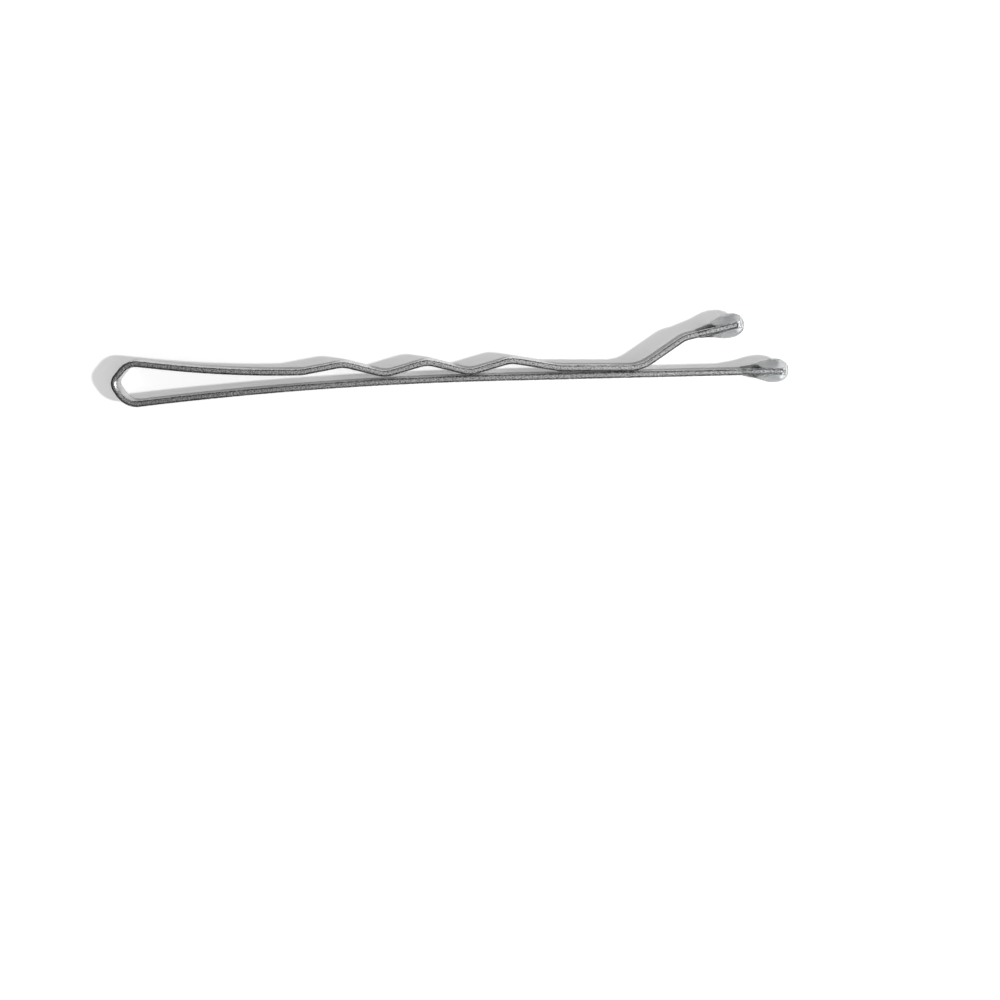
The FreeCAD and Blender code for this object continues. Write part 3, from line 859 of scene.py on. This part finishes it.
FLOOR_REACH = 2.0
FLOOR_TONE = 0.95
FLOOR_ROUGHNESS = 0.6
FLOOR_GLOW = 0.2
FAR_FLOOR_GLOW = 0.8
FAR_FLOOR_FROM = 45.0 * MM
FAR_FLOOR_TO = 250.0 * MM
floor_mesh = bpy.data.meshes.new("floor")
floor_mesh.from_pydata(
    [(-FLOOR_REACH, -FLOOR_REACH, 0), (FLOOR_REACH, -FLOOR_REACH, 0),
     (FLOOR_REACH, FLOOR_REACH, 0), (-FLOOR_REACH, FLOOR_REACH, 0)], [], [(0, 1, 2, 3)])
floor = linked("floor", floor_mesh)
floor_finish, tree, surface = new_material("white_floor")
surface.inputs["Base Color"].default_value = grey(FLOOR_TONE)
surface.inputs["Roughness"].default_value = FLOOR_ROUGHNESS
surface.inputs["Specular IOR Level"].default_value = 0.0
surface.inputs["Emission Color"].default_value = grey(1.0)
place = add_node(tree, "ShaderNodeTexCoord").outputs["Object"]
from_pin = add_node(tree, "ShaderNodeVectorMath", {"operation": "LENGTH"}, Vector=place)
near_seen = calculate(tree, "MULTIPLY", seen_rays(tree, ["Is Camera Ray", "Is Transmission Ray"]),
                      FLOOR_GLOW)
far_glow = spread_over(tree, from_pin.outputs["Value"], FAR_FLOOR_FROM, FAR_FLOOR_TO,
                       0.0, FAR_FLOOR_GLOW)
far_seen = calculate(tree, "MULTIPLY", seen_rays(tree, ["Is Camera Ray"]), far_glow)
tree.links.new(calculate(tree, "ADD", near_seen, far_seen), surface.inputs["Emission Strength"])
floor_mesh.materials.append(floor_finish)
print("floor %.0f m wide, from %.0f mm off the pin whiter with distance" % (
    2 * FLOOR_REACH, FAR_FLOOR_FROM / MM))

# %% [markdown]
# ## Key lamp
#
# The shadow lies to the left of the pin and away from the straight leg, it is about as long as
# the wire is high, and its edge is soft by only a hair's breadth. That takes one small lamp, low
# on the side of the tips. Its share of the light and the room's share add up to 1 on the floor
# under the pin, so that a colour renders about as it is written.

# %% Key lamp
KEY_SHARE = 0.52
KEY_PLACE = Vector((275.0 * MM, -46.0 * MM, 240.0 * MM))
KEY_SIZE = 24.0 * MM
key_light = bpy.data.lights.new("key", "AREA")
key_light.shape = "DISK"
key_light.size = KEY_SIZE
# a disk lamp of this power lights what faces it, at this distance, by power / (pi * distance ** 2)
key_slope = KEY_PLACE.z / KEY_PLACE.length
key_light.energy = KEY_SHARE * math.pi / key_slope * math.pi * KEY_PLACE.length ** 2
key = linked("key", key_light)
key_aim = KEY_PLACE.to_track_quat("Z", "Y").to_matrix().to_4x4()
key.matrix_world = Matrix.Translation(KEY_PLACE) @ key_aim
print("key lamp %.2f W, %.0f degrees above the floor" % (
    key_light.energy, math.asin(key_slope) / DEGREE))

# %% [markdown]
# ## Room
#
# Bright metal shows its surroundings more than itself. The narrow edges look up, and in the
# photograph they are grey with a dark line on either side. So the room is dim overhead, brighter
# on the lamp's side, and dark around. Low down it fades to the white of the floor, and that is
# what the wide faces look at. Only mirrored and refracted rays get this room. What lights the pin
# and the floor is one even tone, and the camera itself sees white.

# %% Room
BACKDROP_LOW = 0.0
BACKDROP_HIGH = 0.3
CEILING_LOW = 0.62
CEILING_HIGH = 0.86
DARK_TONE = 0.01
CEILING_FAR_TONE = 0.12
CEILING_NEAR_TONE = 0.85
CEILING_FAR = -0.6
CEILING_NEAR = 1.0
room = bpy.data.worlds.new("room")
bpy.context.scene.world = room
room.use_nodes = True
tree = room.node_tree
background = tree.nodes["Background"]
direction = add_node(tree, "ShaderNodeTexCoord").outputs["Generated"]
parts = add_node(tree, "ShaderNodeSeparateXYZ", Vector=direction)
backdrop = spread_over(tree, parts.outputs["Z"], BACKDROP_LOW, BACKDROP_HIGH, 1.0, DARK_TONE)
overhead = spread_over(tree, parts.outputs["Z"], CEILING_LOW, CEILING_HIGH, 0.0, 1.0)
lamp_side = spread_over(tree, parts.outputs["X"], CEILING_FAR, CEILING_NEAR,
                        CEILING_FAR_TONE, CEILING_NEAR_TONE)
ceiling = calculate(tree, "MULTIPLY", overhead, lamp_side)
mirrored_tone = calculate(tree, "ADD", backdrop, ceiling)
diffuse_bounces = add_node(tree, "ShaderNodeLightPath").outputs["Diffuse Depth"]
seen_not_lighting = calculate(tree, "LESS_THAN", diffuse_bounces, 1.0)
refracted = calculate(tree, "MULTIPLY", seen_rays(tree, ["Is Transmission Ray"]),
                      seen_not_lighting)
looked_at = calculate(tree, "MAXIMUM", seen_rays(tree, ["Is Glossy Ray"]), refracted)
tone = mixed(tree, 1 - KEY_SHARE, mirrored_tone, looked_at)
shown = mixed(tree, tone, 1.0, seen_rays(tree, ["Is Camera Ray"]))
tree.links.new(shown, background.inputs["Color"])
print("room gives %.2f of the light, and %.2f to %.2f is mirrored overhead" % (
    1 - KEY_SHARE, CEILING_FAR_TONE, CEILING_NEAR_TONE))
